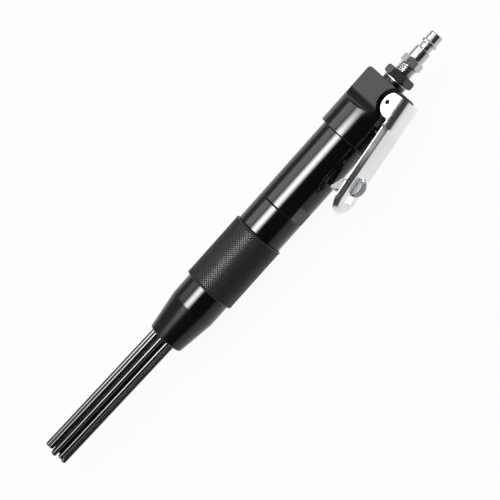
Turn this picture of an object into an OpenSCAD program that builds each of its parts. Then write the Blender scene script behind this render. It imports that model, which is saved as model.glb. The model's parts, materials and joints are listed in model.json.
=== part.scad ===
// Inline air needle scaler, lying on its side.
// Origin at the end face of the air plug, +X along the tool axis to the needles, +Y to the lever.

/* [Air plug] */
// Diameter of the plug's sealing tip
plug_tip_d = 10; // [9.4:0.1:11]
// Length of the sealing tip
plug_tip_l = 7.1; // [5:0.1:10]
// Diameter of the catch ridge behind the tip
plug_ridge_d = 12; // [11.4:0.1:13]
// Length of the catch ridge
plug_ridge_l = 2.4; // [1.8:0.1:4]
// Diameter of the neck that the coupler's balls grip
plug_neck_d = 9.2; // [8.4:0.1:10]
// Length of the gripped neck
plug_neck_l = 4.3; // [3:0.1:6]
// Diameter of the body behind the neck
plug_body_d = 12; // [11:0.1:13]
// Length of the body behind the neck
plug_body_l = 8.8; // [6:0.1:12]
// Width across the plug's hexagon flats
plug_hex_af = 14; // [13.6:0.1:17]
// Length of the plug's hexagon
plug_hex_l = 6.1; // [4:0.1:9]
// Air bore through the plug
plug_bore_d = 7; // [4:0.1:7.4]
// Outside diameter of the plug's pipe thread
plug_thread_d = 13.16; // [11:0.01:13.5]
// Length of thread left in sight between plug and bushing
plug_thread_show = 6.8; // [2:0.1:10]
// Length of thread inside the bushing
plug_thread_in = 9; // [6:0.1:12]

/* [Inlet bushing] */
// Width across the bushing's hexagon flats
bushing_hex_af = 20; // [18:0.1:24]
// Length of the bushing's hexagon
bushing_hex_l = 6.2; // [4:0.1:9]
// Outside diameter of the bushing's thread in the head
bushing_thread_d = 16.66; // [15.6:0.01:17.2]
// Length of the bushing's thread past its sealing washer
bushing_thread_l = 14.6; // [13:0.1:16]
// Outside diameter of the sealing washer under the hexagon
washer_d = 18.4; // [17.6:0.1:20]
// Thickness of the sealing washer
washer_t = 1.4; // [0.8:0.1:2.5]
// Height of the strainer cup in the bushing
screen_l = 6; // [4:0.1:7]

/* [Valve head] */
// Diameter of the head's round part
head_d = 41.6; // [41:0.1:46]
// Length of the head without its boss
head_l = 49.2; // [48:0.1:56]
// Diameter of the boss that the inlet bushing seats on
boss_d = 17.8; // [17.4:0.1:20]
// Height of that boss
boss_l = 2.6; // [1:0.1:5]
// Depth of the head's side flats
flat_depth = 5.8; // [5:0.1:7.4]
// Length of the side flats, up to their cove
flat_l = 21.3; // [18:0.1:23]
// Depth of the flat under the lever
lever_flat_depth = 2.8; // [2.4:0.1:3.6]
// Length of the flat under the lever, up to its cove
lever_flat_l = 27.3; // [24:0.1:29]
// Radius of the coves where the flats run out
cove_r = 6; // [4:0.1:6.5]
// Radius of the head's end edge
head_edge_r = 2.4; // [1:0.1:3]

/* [Throttle valve] */
// Distance from the head's end to the throttle stem
stem_from_end = 36.3; // [35:0.1:37]
// Diameter of the throttle stem
stem_d = 4; // [3:0.1:4.6]
// Travel of the throttle stem
stem_travel = 2.9; // [1.5:0.1:2.9]
// Outside diameter of the stem bushing
stem_bush_d = 9; // [8:0.1:9.6]
// Diameter of the throttle ball
ball_d = 7.6; // [7:0.1:8]
// Diameter of the port that the ball closes
port_d = 5.6; // [5.2:0.1:6.2]
// Outside diameter of the valve plug's thread
valve_plug_d = 10.4; // [10:0.1:11]
// Width across the flats of the valve plug's key socket
key_af = 5; // [3:0.1:6]

/* [Lever] */
// Distance from the head's end to the lever pivot
pivot_from_end = 10.9; // [10.4:0.1:11.4]
// Depth of the lever pivot below the head's side
pivot_depth = 5.7; // [5.4:0.1:6.2]
// Slope of the lever when it is squeezed home
home_slope = 2.8; // [2.4:0.1:4]
// Travel of the lever when squeezed
lever_travel = 6.5; // [5.5:0.1:7]
// Height of the lever's back over its pivot
lever_h = 12.2; // [11.6:0.1:13]
// Thickness of the lever's sheet
lever_t = 1.8; // [1.2:0.1:2]
// Width of the lever at its pivot end
lever_w = 25; // [24:0.1:26]
// Width of the lever along its handle
handle_w = 23; // [21:0.1:23.6]
// Length of the lever ahead of its pivot
lever_l = 81.5; // [80:0.1:86]
// Length of the lever behind its pivot
lever_back_l = 7.6; // [6:0.1:8]
// Length of the arched pivot end ahead of the pivot
shoulder_l = 15.8; // [13:0.1:20]
// Height of the step from the pivot end down to the handle
lever_step = 1.4; // [0.6:0.1:1.8]
// Radius of the arched end's shoulders
shoulder_r = 8.4; // [6:0.1:9]
// Radius of the handle's shoulders
handle_r = 5.6; // [3:0.1:6]
// Depth of the flanges along the handle
flange_d = 4.3; // [4:0.1:4.8]
// Depth of the flange round the handle's end
end_flange_d = 2.8; // [2.4:0.1:4]
// Radius of the ears that hang on the pivot
ear_r = 9.5; // [9:0.1:9.8]
// Diameter of the lever pin
lever_pin_d = 3; // [2.5:0.1:3.4]

/* [Safety latch] */
// Distance from the latch pin to the lever's end
latch_from_end = 22.5; // [22:0.1:24]
// Depth of the latch pin below the handle's back
latch_depth = 2.4; // [2.2:0.1:2.6]
// Radius of the thumb piece round the latch pin
thumb_r = 7; // [6.4:0.1:7.2]
// Turn of the half-round thumb piece towards the foot
thumb_turn = 20; // [10:1:30]
// Width of the latch
latch_w = 6.8; // [6.6:0.1:8]
// Thickness of the latch's sheet
latch_t = 1.3; // [0.8:0.1:1.3]
// Gap between the foot and the barrel when the latch locks the lever
foot_gap = 1.9; // [1.7:0.1:3]
// Angle of the foot below the lever
foot_angle = 57; // [54:0.1:58]
// Width of the leg at the latch pin
leg_w = 8; // [6.4:0.1:8.4]
// Reach of the leg's heel from the latch pin
heel_reach = 8.6; // [8.2:0.1:9]
// Distance of the heel from the leg's middle line
heel_w = 5.2; // [4.8:0.1:5.4]
// Width of the foot
foot_w = 3.2; // [2:0.1:3.4]
// Reach of the lever's window ahead of the latch pin
window_reach = 13.5; // [12:0.1:14]
// Diameter of the latch pin
latch_pin_d = 2.5; // [2:0.1:3]

/* [Barrel] */
// Outside diameter of the barrel
barrel_d = 36; // [35:0.1:38]
// Length of the barrel in sight
barrel_l = 65.4; // [62:0.1:80]
// Wall between the piston and the barrel's outside
barrel_wall = 6; // [5.4:0.1:6.4]
// Depth of the barrel's spigot in the head
barrel_spigot_l = 6; // [4:0.1:6.4]
// Depth of the barrel's front thread in the adaptor
barrel_thread_l = 10.7; // [8:0.1:12]
// Length of the wrench flats at the barrel's front end
wrench_l = 11; // [6:0.1:16]
// Depth of the wrench flats
wrench_depth = 1.5; // [0.6:0.1:1.8]
// Thickness of the distributor plate
valve_plate_t = 2; // [1.2:0.1:3]
// Play of the distributor plate
valve_play = 0.6; // [0.3:0.1:1]
// Length of the piston's body
piston_l = 40; // [30:0.1:42]
// Diameter of the piston's striking nose
piston_nose_d = 14; // [10:0.1:15]
// Length of the piston's striking nose
piston_nose_l = 11; // [8:0.1:13]
// Stroke of the piston
piston_stroke = 12; // [6:0.1:12]

/* [Front end] */
// Length of the plain adaptor ring
adaptor_l = 22.9; // [18:0.1:30]
// Length of the adaptor's thread inside the collar
adaptor_thread_l = 29; // [26:0.1:34]
// Diameter of the anvil's shank
anvil_d = 15; // [12:0.1:17]
// Diameter of the anvil's striking head
anvil_head_d = 26; // [24:0.1:27]
// Length of the anvil's striking head
anvil_head_l = 8; // [5:0.1:10]
// Thickness of the rubber buffer behind the anvil's head
buffer_t = 3; // [1.5:0.1:5]
// Outside diameter of the knurled collar
collar_d = 39.3; // [38.6:0.1:44]
// Length of the knurled collar
collar_l = 52.3; // [46:0.1:60]
// Radius of the collar's end edges
collar_edge_r = 1.4; // [0.5:0.1:2]
// Outside diameter of the nose sleeve
nose_d = 35; // [34.4:0.1:36]
// Bore of the nose sleeve
nose_bore_d = 29.6; // [29:0.1:30.4]
// Length of the nose sleeve's round part in sight
nose_l = 18.2; // [14:0.1:30]
// Length of the nose sleeve's taper
taper_l = 27.8; // [24:0.1:40]
// Outside diameter of the nose's front end
mouth_d = 26.8; // [26.2:0.1:30]
// Opening at the nose's front end
mouth_bore_d = 22.8; // [22.8:0.1:24]
// Thickness of the nose's clamped flange
nose_flange_t = 4; // [3:0.1:6]
// Height of the land on the nose that centres the collar
nose_land = 0.2; // [0.1:0.05:0.4]

/* [Needles] */
// Diameter of a needle
needle_d = 4; // [3:0.1:4]
// Length of a needle with its head
needle_l = 180; // [150:1:200]
// Diameter of a needle's head
needle_head_d = 4.9; // [4.6:0.1:5]
// Length of a needle's head
needle_head_l = 3; // [2:0.1:4]
// Radius of the outer ring of needles
outer_ring_r = 7.85; // [7.6:0.01:7.95]
// Radius of the inner ring of needles
inner_ring_r = 3; // [2.95:0.01:3.05]
// Play of each needle in the holder
needle_play = 3; // [1:0.1:4]
// Lean of the loose needles against the nose's mouth
needle_lean = 1.3; // [0:0.1:1.3]
// Thickness of the holder's plate
plate_t = 10; // [6:0.1:11]
// Travel of the needle pack against its spring
pack_travel = 6; // [3:0.1:8]
// Wire of the return spring
spring_wire_d = 2.2; // [1.6:0.1:2.4]
// Turns of the return spring
spring_turns = 5; // [4:1:6]

/* [Clearances] */
// Radial clearance of threads and seats
seat_gap = 0.05; // [0.03:0.01:0.1]
// Radial clearance of sliding and turning fits
run_gap = 0.06; // [0.04:0.01:0.1]
// Gap between pieces that only pass each other
pass_gap = 0.3; // [0.2:0.05:0.4]

/* [Hidden] */
$fn = 64;
outer_n = 9;
inner_n = 3;
needle_n = outer_n + inner_n;
edge = 0.4;
cut = 1;
far = 100;

// Stations along the tool axis
ridge_x = plug_tip_l;
neck_x = ridge_x + plug_ridge_l;
body_x = neck_x + plug_neck_l;
plug_hex_x = body_x + plug_body_l;
thread_x = plug_hex_x + plug_hex_l;
bushing_x = thread_x + plug_thread_show;
washer_x = bushing_x + bushing_hex_l;
boss_x = washer_x + washer_t;
head_x = boss_x + boss_l;
barrel_x = head_x + head_l;
adaptor_x = barrel_x + barrel_l;
collar_x = adaptor_x + adaptor_l;
nose_x = collar_x + collar_l;
taper_x = nose_x + nose_l;
mouth_x = taper_x + taper_l;

// Inlet and throttle valve
bushing_bore_d = plug_bore_d + 2;
bushing_end_x = washer_x + bushing_thread_l;
screen_x = washer_x + plug_thread_in - bushing_hex_l + pass_gap;
stem_x = head_x + stem_from_end;
pivot_x = head_x + pivot_from_end;
flat_h = head_d / 2 - flat_depth;
lever_flat_h = head_d / 2 - lever_flat_depth;
pivot_h = head_d / 2 - pivot_depth;
lever_slope = home_slope + lever_travel;
handle_top = lever_h - lever_step;
lever_inner_v = handle_top - lever_t;
stem_top_u = (stem_x - pivot_x + lever_inner_v * sin(lever_slope)) / cos(lever_slope);
stem_top_y = pivot_h + stem_top_u * sin(lever_slope) + lever_inner_v * cos(lever_slope) - pass_gap;
stem_bush_l = stem_bush_d;
stem_bush_top = head_d / 2 - stem_bush_l / 9;
stem_bush_y = stem_bush_top - stem_bush_l;
seat_y = 0.75 * stem_d;
chamber_d = 1.2 * ball_d;
ball_y = seat_y - seat_gap - sqrt(pow(ball_d / 2, 2) - pow(port_d / 2, 2));
ball_top_y = ball_y + ball_d / 2;
throttle_wire_d = stem_d / 5;
throttle_turns = 5;
throttle_spring_room = (throttle_turns + 3) * throttle_wire_d;
chamber_y = ball_y - ball_d / 2 - stem_travel - throttle_spring_room;
valve_plug_y = -head_d / 2 + edge;
passage_d = 1.5 * stem_d;
ring_d = 1.2;
throttle_spring_r = ball_d / 3;

// Lever and latch, in the lever's own plane
ear_u = lever_pin_d / 10;
ear_v = 0.61 * ear_r;
tongue_w = lever_w - 2 * lever_t - 2 * pass_gap;
pocket_r = 1.26 * ear_r;
flange_v = handle_top - flange_d;
tip_r = handle_w / 2;
tip_u = lever_l - tip_r;
latch_u = lever_l - latch_from_end;
latch_v = handle_top - latch_depth;
latch_h = pivot_h + latch_u * sin(lever_slope) + latch_v * cos(lever_slope);
foot_drop = latch_h - barrel_d / 2 - foot_gap - foot_w / 2;
foot_reach = foot_drop / sin(foot_angle - lever_slope) + foot_w / 2;
window_w = latch_w + 2 * pass_gap;
window_back_u = latch_u - thumb_r - 2 * pass_gap;
window_front_u = latch_u + window_reach;
latch_spring_wire_d = latch_pin_d / 4;
latch_spring_turns = 3;

// Barrel and valve set
piston_d = barrel_d - 2 * barrel_wall;
spigot_wall = barrel_wall / 3;
counterbore_d = piston_d + 2 * spigot_wall;
rear_spigot_d = counterbore_d + 2 * spigot_wall;
front_thread_d = piston_d + barrel_wall;
spigot_x = barrel_x - barrel_spigot_l;
chest_x = spigot_x + pass_gap;
chest_floor_t = 4 * valve_plate_t;
plate_room = valve_plate_t + valve_play;
valve_seat_x = chest_x + chest_floor_t + plate_room;
valve_seat_t = chest_floor_t;
valve_plate_d = 0.8 * piston_d;
port_hole_d = 0.8 * spigot_wall;
piston_x = valve_seat_x + valve_seat_t + 3 * pass_gap;
piston_end_x = piston_x + piston_l + piston_nose_l;
barrel_end_x = adaptor_x + barrel_thread_l;

// Front end and needle pack
collar_thread_d = nose_d - 2;
adaptor_end_x = collar_x + adaptor_thread_l;
anvil_x = max(piston_end_x + piston_stroke + pass_gap, barrel_end_x + pass_gap);
anvil_face_x = adaptor_end_x - pass_gap;
anvil_head_x = anvil_face_x - anvil_head_l;
buffer_x = anvil_head_x - pass_gap - buffer_t;
cavity_d = 1.2 * max(piston_nose_d, anvil_d);
cavity_end_x = anvil_x + anvil_d / 4;
nose_land_d = nose_d + 2 * nose_land;
nose_flange_d = nose_land_d + 4 * edge;
shoulder_x = adaptor_end_x + nose_flange_t;
heads_x = anvil_face_x + pass_gap;
plate_x = heads_x + needle_head_l + needle_play + pass_gap;
pivot_plate_x = plate_x + plate_t / 2;
holder_d = nose_bore_d - 2 * run_gap;
skirt_bore_d = 2 * (outer_ring_r + needle_head_d) - 2;
spring_x = plate_x + plate_t + pass_gap;
spring_seat_x = taper_x + pack_travel;
spring_od = nose_bore_d - 2 * edge;
throat_d = spring_od - 2 * spring_wire_d - 2 * edge;
needle_hole_d = needle_d + 2 * pass_gap;
ring_phase = -59;

BODY_BLACK = "#17181a";
SATIN_BLACK = "#2b2c2f";
CHROME = "#d9dcdf";
STEEL = "#8f9398";
NEEDLE_STEEL = "#3a3c3f";
RUBBER = "#202020";
BRASS = "#b5975a";

function needle_name(i) = str("needle_", i < 10 ? "0" : "", i);

// Shared shapes

// Points of an arc round c, from angle a to angle b
function arc(c, r, a, b, n = 6) =
  [for (i = [0:n]) c + r * [cos(a + (b - a) * i / n), sin(a + (b - a) * i / n)]];

// Solid turned about the tool axis from [radius, x] points
module turned(points) {
  rotate([0, 90, 0]) rotate_extrude() polygon(points);
}

// Round bar along the tool axis, from x = a to x = b
module bar(d, a, b) {
  translate([a, 0, 0]) rotate([0, 90, 0]) cylinder(h = b - a, d = d);
}

// Hexagon along the tool axis with its corners turned off at both ends
module turned_hex(af, a, b) {
  corner_r = af / 2 / cos(30);
  intersection() {
    translate([a, 0, 0]) rotate([0, 90, 0]) cylinder(h = b - a, r = corner_r, $fn = 6);
    turned([[0, a], [af / 2, a], [corner_r - edge / 2, a + edge * 2],
            [corner_r - edge / 2, b - edge * 2], [af / 2, b], [0, b]]);
  }
}

// Ring of round section about the tool axis
module seal_ring(inner_d, section_d, x) {
  translate([x, 0, 0]) rotate([0, 90, 0]) rotate_extrude()
    translate([inner_d / 2 + section_d / 2, 0]) circle(d = section_d, $fn = 24);
}

// Bar along Y at a given station, from y = a to y = b
module cross_bar(d, x, a, b) {
  translate([x, a, 0]) rotate([-90, 0, 0]) cylinder(h = b - a, d = d);
}

// Centre line of a helix along Z
function helix(mean_r, turns, length, per_turn = 8) =
  [for (i = [0:turns * per_turn])
     [mean_r * cos(360 * i / per_turn), mean_r * sin(360 * i / per_turn), length * i / (turns * per_turn)]];

// Least gap between wire on neighbouring turns
function wire_gap(line, wire_d, per_turn = 8) =
  min([for (i = [0:len(line) - 1 - per_turn / 2], j = [i + per_turn / 2:len(line) - 1])
         norm(line[i] - line[j])]) - wire_d;

// Wire swept along a helix, its ends closed
module wire_coil(mean_r, wire_d, turns, length, sides = 6, per_turn = 8) {
  line = helix(mean_r, turns, length, per_turn);
  rings = len(line);
  climb = atan2(length / turns, 2 * PI * mean_r);
  points = [for (i = [0:rings - 1], k = [0:sides - 1])
    let (turn = 360 * i / per_turn, side = 360 * k / sides, out = wire_d / 2 * cos(side),
         up = wire_d / 2 * sin(side))
      line[i] + out * [cos(turn), sin(turn), 0]
      + up * [sin(turn) * sin(climb), -cos(turn) * sin(climb), cos(climb)]];
  walls = [for (i = [0:rings - 2], k = [0:sides - 1])
    let (a = i * sides + k, b = i * sides + (k + 1) % sides)
      each [[a, a + sides, b], [b, a + sides, b + sides]]];
  first = [for (k = [1:sides - 2]) [0, k, k + 1]];
  last_0 = (rings - 1) * sides;
  last = [for (k = [1:sides - 2]) [last_0, last_0 + k + 1, last_0 + k]];
  echo(least_wire_gap = wire_gap(line, wire_d, per_turn));
  polyhedron(points, concat(walls, first, last));
}

// Air inlet

module hose_plug() color(CHROME) {
  tip_r = plug_tip_d / 2;
  difference() {
    union() {
      turned([[0, 0], [tip_r, 0], [tip_r, ridge_x - edge], [plug_ridge_d / 2, ridge_x + edge],
              [plug_ridge_d / 2, neck_x - edge], [plug_neck_d / 2, neck_x + edge],
              [plug_neck_d / 2, body_x - edge], [plug_body_d / 2, body_x + edge],
              [plug_body_d / 2, plug_hex_x], [0, plug_hex_x]]);
      turned_hex(plug_hex_af, plug_hex_x, thread_x);
      bar(plug_thread_d, thread_x, bushing_x + plug_thread_in);
    }
    bar(plug_bore_d, -cut, bushing_x + plug_thread_in + cut);
  }
}

module inlet_bushing() color(SATIN_BLACK) {
  difference() {
    union() {
      turned_hex(bushing_hex_af, bushing_x, washer_x);
      bar(bushing_thread_d, washer_x, bushing_end_x);
    }
    bar(plug_thread_d + 2 * seat_gap, bushing_x - cut, screen_x);
    bar(bushing_bore_d, screen_x - cut, bushing_end_x + cut);
  }
}

module inlet_seal() color(STEEL) {
  difference() {
    bar(washer_d, washer_x, boss_x);
    bar(bushing_thread_d + 2 * seat_gap, washer_x - cut, boss_x + cut);
  }
}

// Strainer cup held by its rim on the step in the bushing
module inlet_screen() color(BRASS) {
  rim_d = plug_thread_d - 2 * seat_gap;
  cup_d = bushing_bore_d - 2 * seat_gap;
  wall = 0.6;
  rim_x = screen_x - pass_gap + seat_gap;
  difference() {
    union() {
      bar(rim_d, rim_x, screen_x);
      bar(cup_d, rim_x, screen_x + screen_l);
    }
    bar(cup_d - 2 * wall, rim_x - cut, screen_x + screen_l - wall);
    bar(wall * 2, screen_x, screen_x + screen_l + cut);
    for (turn = [0:60:300])
      rotate([turn, 0, 0]) translate([0, cup_d / 4, 0])
        bar(wall * 2, screen_x, screen_x + screen_l + cut);
  }
}

// Valve head

// Flat milled along the head at height h, with a cove at its end, on the +Y side
module milled_flat(h, l) {
  translate([head_x - cut, h, -far / 2]) cube([l + cut, far, far]);
  translate([head_x + l, h + cove_r, -far / 2]) cylinder(h = far, r = cove_r);
}

// Places the children in the lever's own plane, pivot at its origin
module on_lever() {
  translate([pivot_x, pivot_h, 0]) rotate([0, 0, lever_slope]) children();
}

module head_form() {
  r = head_d / 2;
  turned(concat([[0, head_x]], arc([r - head_edge_r, head_x + head_edge_r], head_edge_r, -90, 0),
                [[r, barrel_x - edge], [r - edge, barrel_x], [0, barrel_x]]));
}

// Round pocket for one ear of the lever
module ear_pocket(side) {
  translate([ear_u, ear_v, side * (tongue_w + far) / 2]) cylinder(h = far, r = pocket_r, center = true);
}

module valve_head() color(BODY_BLACK) {
  difference() {
    union() {
      difference() {
        head_form();
        for (turn = [90, 180, 270])
          rotate([turn, 0, 0]) milled_flat(flat_h, flat_l);
        milled_flat(lever_flat_h, lever_flat_l);
      }
      bar(boss_d, boss_x, head_x + cove_r);
    }
    on_lever() for (side = [-1, 1]) ear_pocket(side);
    translate([pivot_x, pivot_h, 0]) cylinder(h = far, d = lever_pin_d + 2 * seat_gap, center = true);
    bar(bushing_thread_d + 2 * seat_gap, boss_x - cut, bushing_end_x + pass_gap);
    bar(passage_d, bushing_end_x, stem_x);
    cross_bar(chamber_d, stem_x, chamber_y, seat_y);
    cross_bar(port_d, stem_x, seat_y - cut, stem_bush_y);
    cross_bar(stem_bush_d + 2 * seat_gap, stem_x, stem_bush_y, head_d / 2);
    cross_bar(valve_plug_d + 2 * seat_gap, stem_x, -head_d / 2 - cut, chamber_y);
    translate([0, (seat_y + stem_bush_y) / 2, 0]) bar(port_d, stem_x, barrel_x);
    bar(rear_spigot_d + 2 * seat_gap, spigot_x, barrel_x + cut);
  }
}

// Throttle valve

module stem_bushing() color(BRASS) {
  groove_d = stem_d + 2 * (run_gap + ring_d + seat_gap);
  groove_l = ring_d + 2 * seat_gap;
  groove_y = stem_bush_y + (stem_bush_l - groove_l) / 2;
  difference() {
    cross_bar(stem_bush_d, stem_x, stem_bush_y, stem_bush_top);
    cross_bar(stem_d + 2 * run_gap, stem_x, stem_bush_y - cut, stem_bush_top + cut);
    cross_bar(groove_d, stem_x, groove_y, groove_y + groove_l);
  }
}

module stem_seal() color(RUBBER) {
  translate([stem_x, stem_bush_y + stem_bush_l / 2, 0]) rotate([-90, 0, 0]) rotate_extrude()
    translate([stem_d / 2 + run_gap + ring_d / 2, 0]) circle(d = ring_d, $fn = 24);
}

module throttle_stem() color(CHROME) {
  dome_l = 1.2;
  stem_r = stem_d / 2;
  bottom_y = ball_top_y + seat_gap;
  dome_r = (pow(stem_r, 2) + pow(dome_l, 2)) / 2 / dome_l;
  half_a = asin(stem_r / dome_r);
  translate([stem_x, 0, 0]) rotate([-90, 0, 0]) rotate_extrude()
    polygon(concat([[0, bottom_y], [stem_r, bottom_y]],
                   arc([0, stem_top_y - dome_r], dome_r, 90 - half_a, 90)));
}

module throttle_ball() color(STEEL) {
  translate([stem_x, ball_y, 0]) sphere(d = ball_d);
}

module throttle_spring() color(STEEL) {
  top_y = ball_y - sqrt(pow((ball_d + throttle_wire_d) / 2 + seat_gap, 2) - pow(throttle_spring_r, 2));
  bottom_y = chamber_y + throttle_wire_d / 2 + seat_gap;
  translate([stem_x, bottom_y, 0]) rotate([-90, 0, 0])
    wire_coil(throttle_spring_r, throttle_wire_d, throttle_turns, top_y - bottom_y);
}

module valve_plug() color(SATIN_BLACK) {
  key_depth = 4;
  difference() {
    cross_bar(valve_plug_d, stem_x, valve_plug_y, chamber_y);
    translate([stem_x, valve_plug_y - cut, 0]) rotate([-90, 0, 0])
      cylinder(h = key_depth + cut, r = key_af / 2 / cos(30), $fn = 6);
  }
}

// Lever

// Channel section with a rounded back at height top, deep enough for the ears
module channel_section(w, top, r) {
  foot_v = ear_v - ear_r;
  translate([-w / 2 + r, foot_v]) square([w - 2 * r, top - foot_v]);
  translate([-w / 2, foot_v]) square([w, top - r - foot_v]);
  for (side = [-1, 1]) translate([side * (w / 2 - r), top - r]) circle(r = r);
}

module hollow_section(w, top, r) {
  difference() {
    channel_section(w, top, r);
    translate([0, -cut]) channel_section(w - 2 * lever_t, top - lever_t + cut, max(r - lever_t, edge));
  }
}

// Channel along the lever, from u = a to u = b
module channel(w, top, r, a, b) {
  translate([a, 0, 0]) rotate([0, 90, 0]) linear_extrude(height = b - a) hollow_section(w, top, r);
}

// Round end of the handle, the same section turned half round
module round_end() {
  translate([tip_u, 0, 0]) rotate([-90, 0, 0]) rotate([0, 0, -90]) rotate_extrude(angle = 180)
    intersection() {
      hollow_section(handle_w, handle_top, handle_r);
      translate([0, -far / 2]) square([far, far]);
    }
}

// What the lever keeps, seen from its side: flanges that run out to the end, and the ears
module lever_side() {
  polygon([[-lever_back_l, flange_v], [latch_u, flange_v], [lever_l + cut, handle_top - end_flange_d],
           [lever_l + cut, lever_h], [-lever_back_l, lever_h]]);
  intersection() {
    translate([ear_u, ear_v]) circle(r = ear_r);
    translate([-lever_back_l, -far / 2]) square([far, far / 2 + lever_h]);
  }
}

module window() {
  r = 1;
  l = window_front_u - window_back_u;
  translate([window_back_u, 0, 0]) rotate([-90, 0, 0]) linear_extrude(height = lever_h + cut) {
    translate([r, -window_w / 2]) square([l - 2 * r, window_w]);
    translate([0, -window_w / 2 + r]) square([l, window_w - 2 * r]);
    for (u = [r, l - r], side = [-1, 1]) translate([u, side * (window_w / 2 - r)]) circle(r = r);
  }
}

module throttle_lever() color(CHROME) on_lever() {
  difference() {
    intersection() {
      union() {
        channel(lever_w, lever_h, shoulder_r, -lever_back_l, shoulder_l);
        channel(handle_w, handle_top, handle_r, shoulder_l - lever_t, tip_u);
        round_end();
      }
      linear_extrude(height = far, center = true) lever_side();
    }
    window();
    cylinder(h = far, d = lever_pin_d + 2 * run_gap, center = true);
    translate([latch_u, latch_v, 0]) cylinder(h = far, d = latch_pin_d + 2 * seat_gap, center = true);
  }
}

module lever_pin() color(STEEL) {
  translate([pivot_x, pivot_h, 0]) cylinder(h = lever_w - lever_t, d = lever_pin_d, center = true);
}

// Safety latch

// Places the children at the latch pin, in the lever's plane
module on_latch() {
  on_lever() translate([latch_u, latch_v, 0]) children();
}

module latch_outline() {
  foot_u = foot_reach - foot_w / 2;
  intersection() {
    circle(r = thumb_r);
    rotate(-thumb_turn) translate([-far / 2, 0]) square([far, far / 2]);
  }
  circle(d = leg_w);
  rotate(-foot_angle) {
    polygon([[0, edge - leg_w / 2], [heel_reach, -heel_w], [foot_u, -foot_w / 2],
             [foot_u, foot_w / 2], [0, leg_w / 2 - edge]]);
    translate([foot_u, 0]) circle(d = foot_w);
  }
}

// Folded sheet: two side plates joined by the thumb piece and by the foot, with a square hole in each heel
module safety_latch() color(STEEL) on_latch() {
  hollow_r = thumb_r - latch_t;
  hole = heel_w * 0.38;
  difference() {
    linear_extrude(height = latch_w, center = true) latch_outline();
    linear_extrude(height = latch_w - 2 * latch_t, center = true) {
      circle(r = hollow_r);
      rotate(-foot_angle) translate([0, -leg_w]) square([foot_reach - foot_w, 2 * leg_w]);
      rotate(-foot_angle - 90) translate([0, -thumb_r]) square([2 * thumb_r, 2 * thumb_r]);
    }
    cylinder(h = far, d = latch_pin_d + 2 * run_gap, center = true);
    rotate(-foot_angle) translate([heel_reach - hole * 0.8, hole - heel_w, 0])
      cube([hole, hole, far], center = true);
  }
}

module latch_pin() color(STEEL) on_latch() {
  cylinder(h = handle_w - lever_t, d = latch_pin_d, center = true);
}

module latch_spring() color(STEEL) on_latch() {
  l = latch_w - 2 * latch_t - latch_spring_wire_d - 2 * pass_gap;
  mean_r = latch_pin_d / 2 + latch_spring_wire_d / 2 + pass_gap;
  translate([0, 0, -l / 2]) wire_coil(mean_r, latch_spring_wire_d, latch_spring_turns, l);
}

// Barrel and valve set

module barrel() color(BODY_BLACK) {
  r = barrel_d / 2;
  difference() {
    turned([[0, spigot_x], [rear_spigot_d / 2, spigot_x], [rear_spigot_d / 2, barrel_x],
            [r - edge, barrel_x], [r, barrel_x + edge], [r, adaptor_x - edge], [r - edge, adaptor_x],
            [front_thread_d / 2, adaptor_x], [front_thread_d / 2, barrel_end_x], [0, barrel_end_x]]);
    bar(piston_d + 2 * run_gap, spigot_x - cut, barrel_end_x + cut);
    bar(counterbore_d + 2 * seat_gap, spigot_x - cut, valve_seat_x + valve_seat_t);
    for (side = [-1, 1])
      translate([adaptor_x - wrench_l / 2, side * (r - wrench_depth + far / 2), 0])
        cube([wrench_l, far, far], center = true);
    seal_ring(rear_spigot_d - 2 * ring_d, ring_d * 2, barrel_x - barrel_spigot_l / 2);
    seal_ring(front_thread_d - 2 * ring_d, ring_d * 2, adaptor_x + ring_d * 2);
  }
}

module barrel_seal() color(RUBBER) {
  seal_ring(rear_spigot_d - 2 * ring_d, ring_d, barrel_x - barrel_spigot_l / 2);
}

module adaptor_seal() color(RUBBER) {
  seal_ring(front_thread_d - 2 * ring_d, ring_d, adaptor_x + ring_d * 2);
}

// Rear cup of the valve set, open to the front for the distributor plate
module valve_chest() color(STEEL) {
  end_x = chest_x + chest_floor_t + plate_room;
  dish_d = counterbore_d - 3 * spigot_wall;
  dish_depth = 0.75 * spigot_wall;
  difference() {
    bar(counterbore_d, chest_x, end_x);
    bar(valve_plate_d + 2 * pass_gap, end_x - plate_room, end_x + cut);
    bar(passage_d, chest_x - cut, end_x);
    bar(dish_d, chest_x - cut, chest_x + dish_depth);
    for (turn = [60:120:300])
      rotate([turn, 0, 0]) translate([0, counterbore_d / 2 - spigot_wall, 0])
        bar(port_hole_d, chest_x - cut, end_x + cut);
  }
}

module valve_plate() color(STEEL) {
  start_x = chest_x + chest_floor_t + valve_play / 2;
  difference() {
    bar(valve_plate_d, start_x, start_x + valve_plate_t);
    bar(passage_d / 2, start_x - cut, start_x + valve_plate_t + cut);
  }
}

module valve_seat() color(STEEL) {
  end_x = valve_seat_x + valve_seat_t;
  difference() {
    bar(counterbore_d, valve_seat_x, end_x);
    bar(passage_d, valve_seat_x - cut, end_x + cut);
    for (turn = [60:120:300])
      rotate([turn, 0, 0]) translate([0, counterbore_d / 2 - spigot_wall, 0])
        bar(port_hole_d, valve_seat_x - cut, end_x + cut);
  }
}

module piston() color(STEEL) {
  r = piston_d / 2;
  groove_l = 4;
  groove_depth = 0.8;
  shoulder = piston_x + piston_l;
  nose_r = piston_nose_d / 2;
  groove_x = piston_x + piston_l / 2;
  turned([[0, piston_x], [r - edge, piston_x], [r, piston_x + edge], [r, groove_x - groove_l / 2],
          [r - groove_depth, groove_x - groove_l / 2], [r - groove_depth, groove_x + groove_l / 2],
          [r, groove_x + groove_l / 2], [r, shoulder - edge], [r - edge, shoulder], [nose_r, shoulder],
          [nose_r, piston_end_x - edge], [nose_r - edge, piston_end_x], [0, piston_end_x]]);
}

// Front end

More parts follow.
